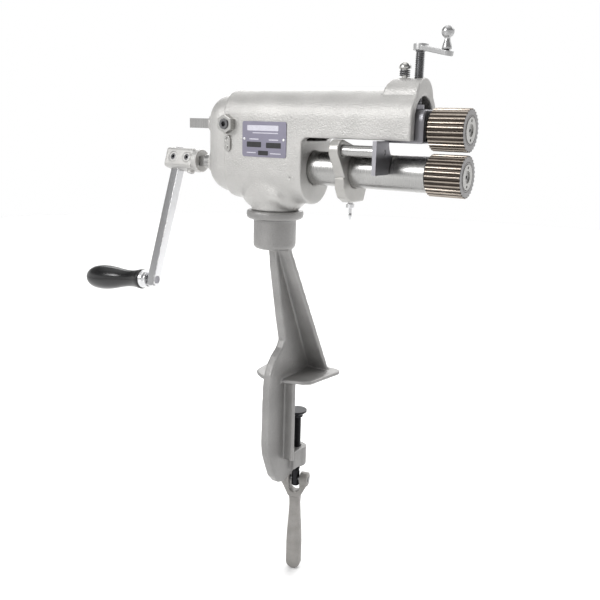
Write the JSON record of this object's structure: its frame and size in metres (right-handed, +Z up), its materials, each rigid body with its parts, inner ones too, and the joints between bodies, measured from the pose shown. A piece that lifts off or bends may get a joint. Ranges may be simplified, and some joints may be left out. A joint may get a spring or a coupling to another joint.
{
  "type": "hand-cranked bench rotary machine",
  "caption": "Hand-cranked bench rotary machine for crimping sheet metal, with fluted rolls, a deep throat, a sliding gauge and a swivelling C-clamp standard.",
  "frame": {"origin": "on the clamp screw's axis, in the underside of the clamp's upper plate, where it sits on the bench", "axes": "+X along the two shafts towards the rolls; +Y away from the clamp's spine, over the bench; +Z up, through the bench plate towards the head"},
  "size_m": [0.5447, 0.1783, 0.7732],
  "materials": {
    "head_paint": "silver paint over a sand casting, satin",
    "stand_paint": "darker silver-grey paint over a sand casting",
    "bracket_casting": "bright ground casting",
    "polished_steel": "polished",
    "machined_steel": "machined",
    "gear_steel": "oiled, cut teeth",
    "roll_steel": "ground, with a warm plated tint",
    "nut_steel": "satin",
    "dark_steel": "oil-darkened",
    "black_oxide": "black oxide",
    "bronze": "sintered bronze",
    "bright_plate": "bright plated",
    "satin_steel": "satin",
    "grip_black": "gloss",
    "plate_metal": "brushed, with dark blank bars",
    "handle_iron": "rough casting"
  },
  "bodies": {
    "stand": {"stand_casting": "stand_paint", "swivel_lock_screw": "dark_steel"},
    "head_frame": {"frame_casting": "head_paint", "rear_cover": "head_paint", "cover_screws": "dark_steel", "lower_sleeve": "polished_steel", "lower_front_bush": "bronze", "lower_rear_bush": "bronze", "pivot_screws": "dark_steel", "pivot_lock_nuts": "nut_steel", "oiler": "nut_steel", "nameplate": "plate_metal", "nameplate_rivets": "bright_plate", "lift_spring": "dark_steel"},
    "lower_shaft": {"lower_shaft": "polished_steel", "lower_gear": "gear_steel", "lower_gear_key": "gear_steel", "lower_roll": "roll_steel", "lower_roll_key": "gear_steel", "lower_roll_nut": "nut_steel", "crank_hub": "head_paint", "hub_set_screws": "dark_steel", "crank_arm": "bright_plate", "grip_spindle": "machined_steel"},
    "crank_grip": {"crank_grip": "grip_black", "grip_ferrule": "bright_plate"},
    "upper_carrier": {"rear_bearing_block": "machined_steel", "front_bearing_block": "machined_steel", "upper_rear_bush": "bronze", "upper_front_bush": "bronze", "lift_stud": "dark_steel"},
    "upper_shaft": {"upper_shaft": "polished_steel", "upper_gear": "gear_steel", "upper_gear_key": "gear_steel", "upper_roll": "roll_steel", "upper_roll_key": "gear_steel", "upper_roll_nut": "nut_steel"},
    "thrust_pad": {"thrust_pad": "machined_steel"},
    "adjusting_screw": {"adjusting_screw": "dark_steel", "adjusting_lever": "satin_steel", "ball_handle": "satin_steel"},
    "gauge": {"gauge_bracket": "bracket_casting", "gauge_rod": "polished_steel", "gauge_plate": "machined_steel", "gauge_set_screw": "dark_steel"},
    "gauge_thumb_screw": {"gauge_thumb_screw": "bright_plate"},
    "clamp_pad": {"clamp_pad": "black_oxide"},
    "clamp_screw": {"clamp_screw": "black_oxide"},
    "clamp_handle": {"clamp_handle": "handle_iron", "clamp_handle_pin": "dark_steel"}
  },
  "joints": [
    {"name": "head_swivel", "type": "hinge", "parent": "stand", "child": "head_frame", "pos_m": [0, -0.066, 0.217], "axis": [0, 0, 1], "continuous": true},
    {"name": "crank_turn", "type": "hinge", "parent": "head_frame", "child": "lower_shaft", "pos_m": [0, -0.066, 0.297], "axis": [1, 0, 0], "continuous": true},
    {"name": "grip_spin", "type": "hinge", "parent": "lower_shaft", "child": "crank_grip", "pos_m": [-0.1634, -0.12285, 0.13467], "axis": [-0.9954, -0.0317, -0.0905], "continuous": true},
    {"name": "upper_tilt", "type": "hinge", "parent": "head_frame", "child": "upper_carrier", "pos_m": [-0.05, -0.066, 0.3473], "axis": [0, -1, 0], "range_deg": [-0.6, 0.95], "deforming": ["lift_spring"]},
    {"name": "upper_turn", "type": "hinge", "parent": "upper_carrier", "child": "upper_shaft", "pos_m": [0, -0.066, 0.3473], "axis": [1, 0, 0], "continuous": true},
    {"name": "adjust_travel", "type": "slide", "parent": "head_frame", "child": "thrust_pad", "axis": [0, 0, 1], "range_m": [-0.0025, 0.004]},
    {"name": "adjust_turn", "type": "hinge", "parent": "thrust_pad", "child": "adjusting_screw", "pos_m": [0.1915, -0.066, 0.372], "axis": [0, 0, 1], "range_deg": [-450.5, 720.5]},
    {"name": "gauge_slide", "type": "slide", "parent": "head_frame", "child": "gauge", "axis": [1, 0, 0], "range_m": [-0.038, 0.03]},
    {"name": "gauge_thumb_turn", "type": "hinge", "parent": "gauge", "child": "gauge_thumb_screw", "pos_m": [0.111, -0.066, 0.267], "axis": [0, 0, 1], "range_deg": [-720, 0]},
    {"name": "clamp_travel", "type": "slide", "parent": "stand", "child": "clamp_pad", "axis": [0, 0, 1], "range_m": [-0.044, 0.006]},
    {"name": "clamp_turn", "type": "hinge", "parent": "clamp_pad", "child": "clamp_screw", "pos_m": [0, 0, -0.073], "axis": [0, 0, 1], "range_deg": [-7921, 1081]},
    {"name": "handle_swing", "type": "hinge", "parent": "clamp_screw", "child": "clamp_handle", "pos_m": [0, 0, -0.167], "axis": [0.9563, 0.2924, 0], "range_deg": [-80, 80]}
  ],
  "couplings": [
    {"joint": "upper_turn", "follows": "crank_turn", "ratio": -1},
    {"joint": "adjust_turn", "follows": "adjust_travel", "rad_per_m": 3141.6},
    {"joint": "upper_tilt", "follows": "adjust_travel", "rad_per_m": 4.1408},
    {"joint": "clamp_turn", "follows": "clamp_travel", "rad_per_m": 3141.6}
  ]
}
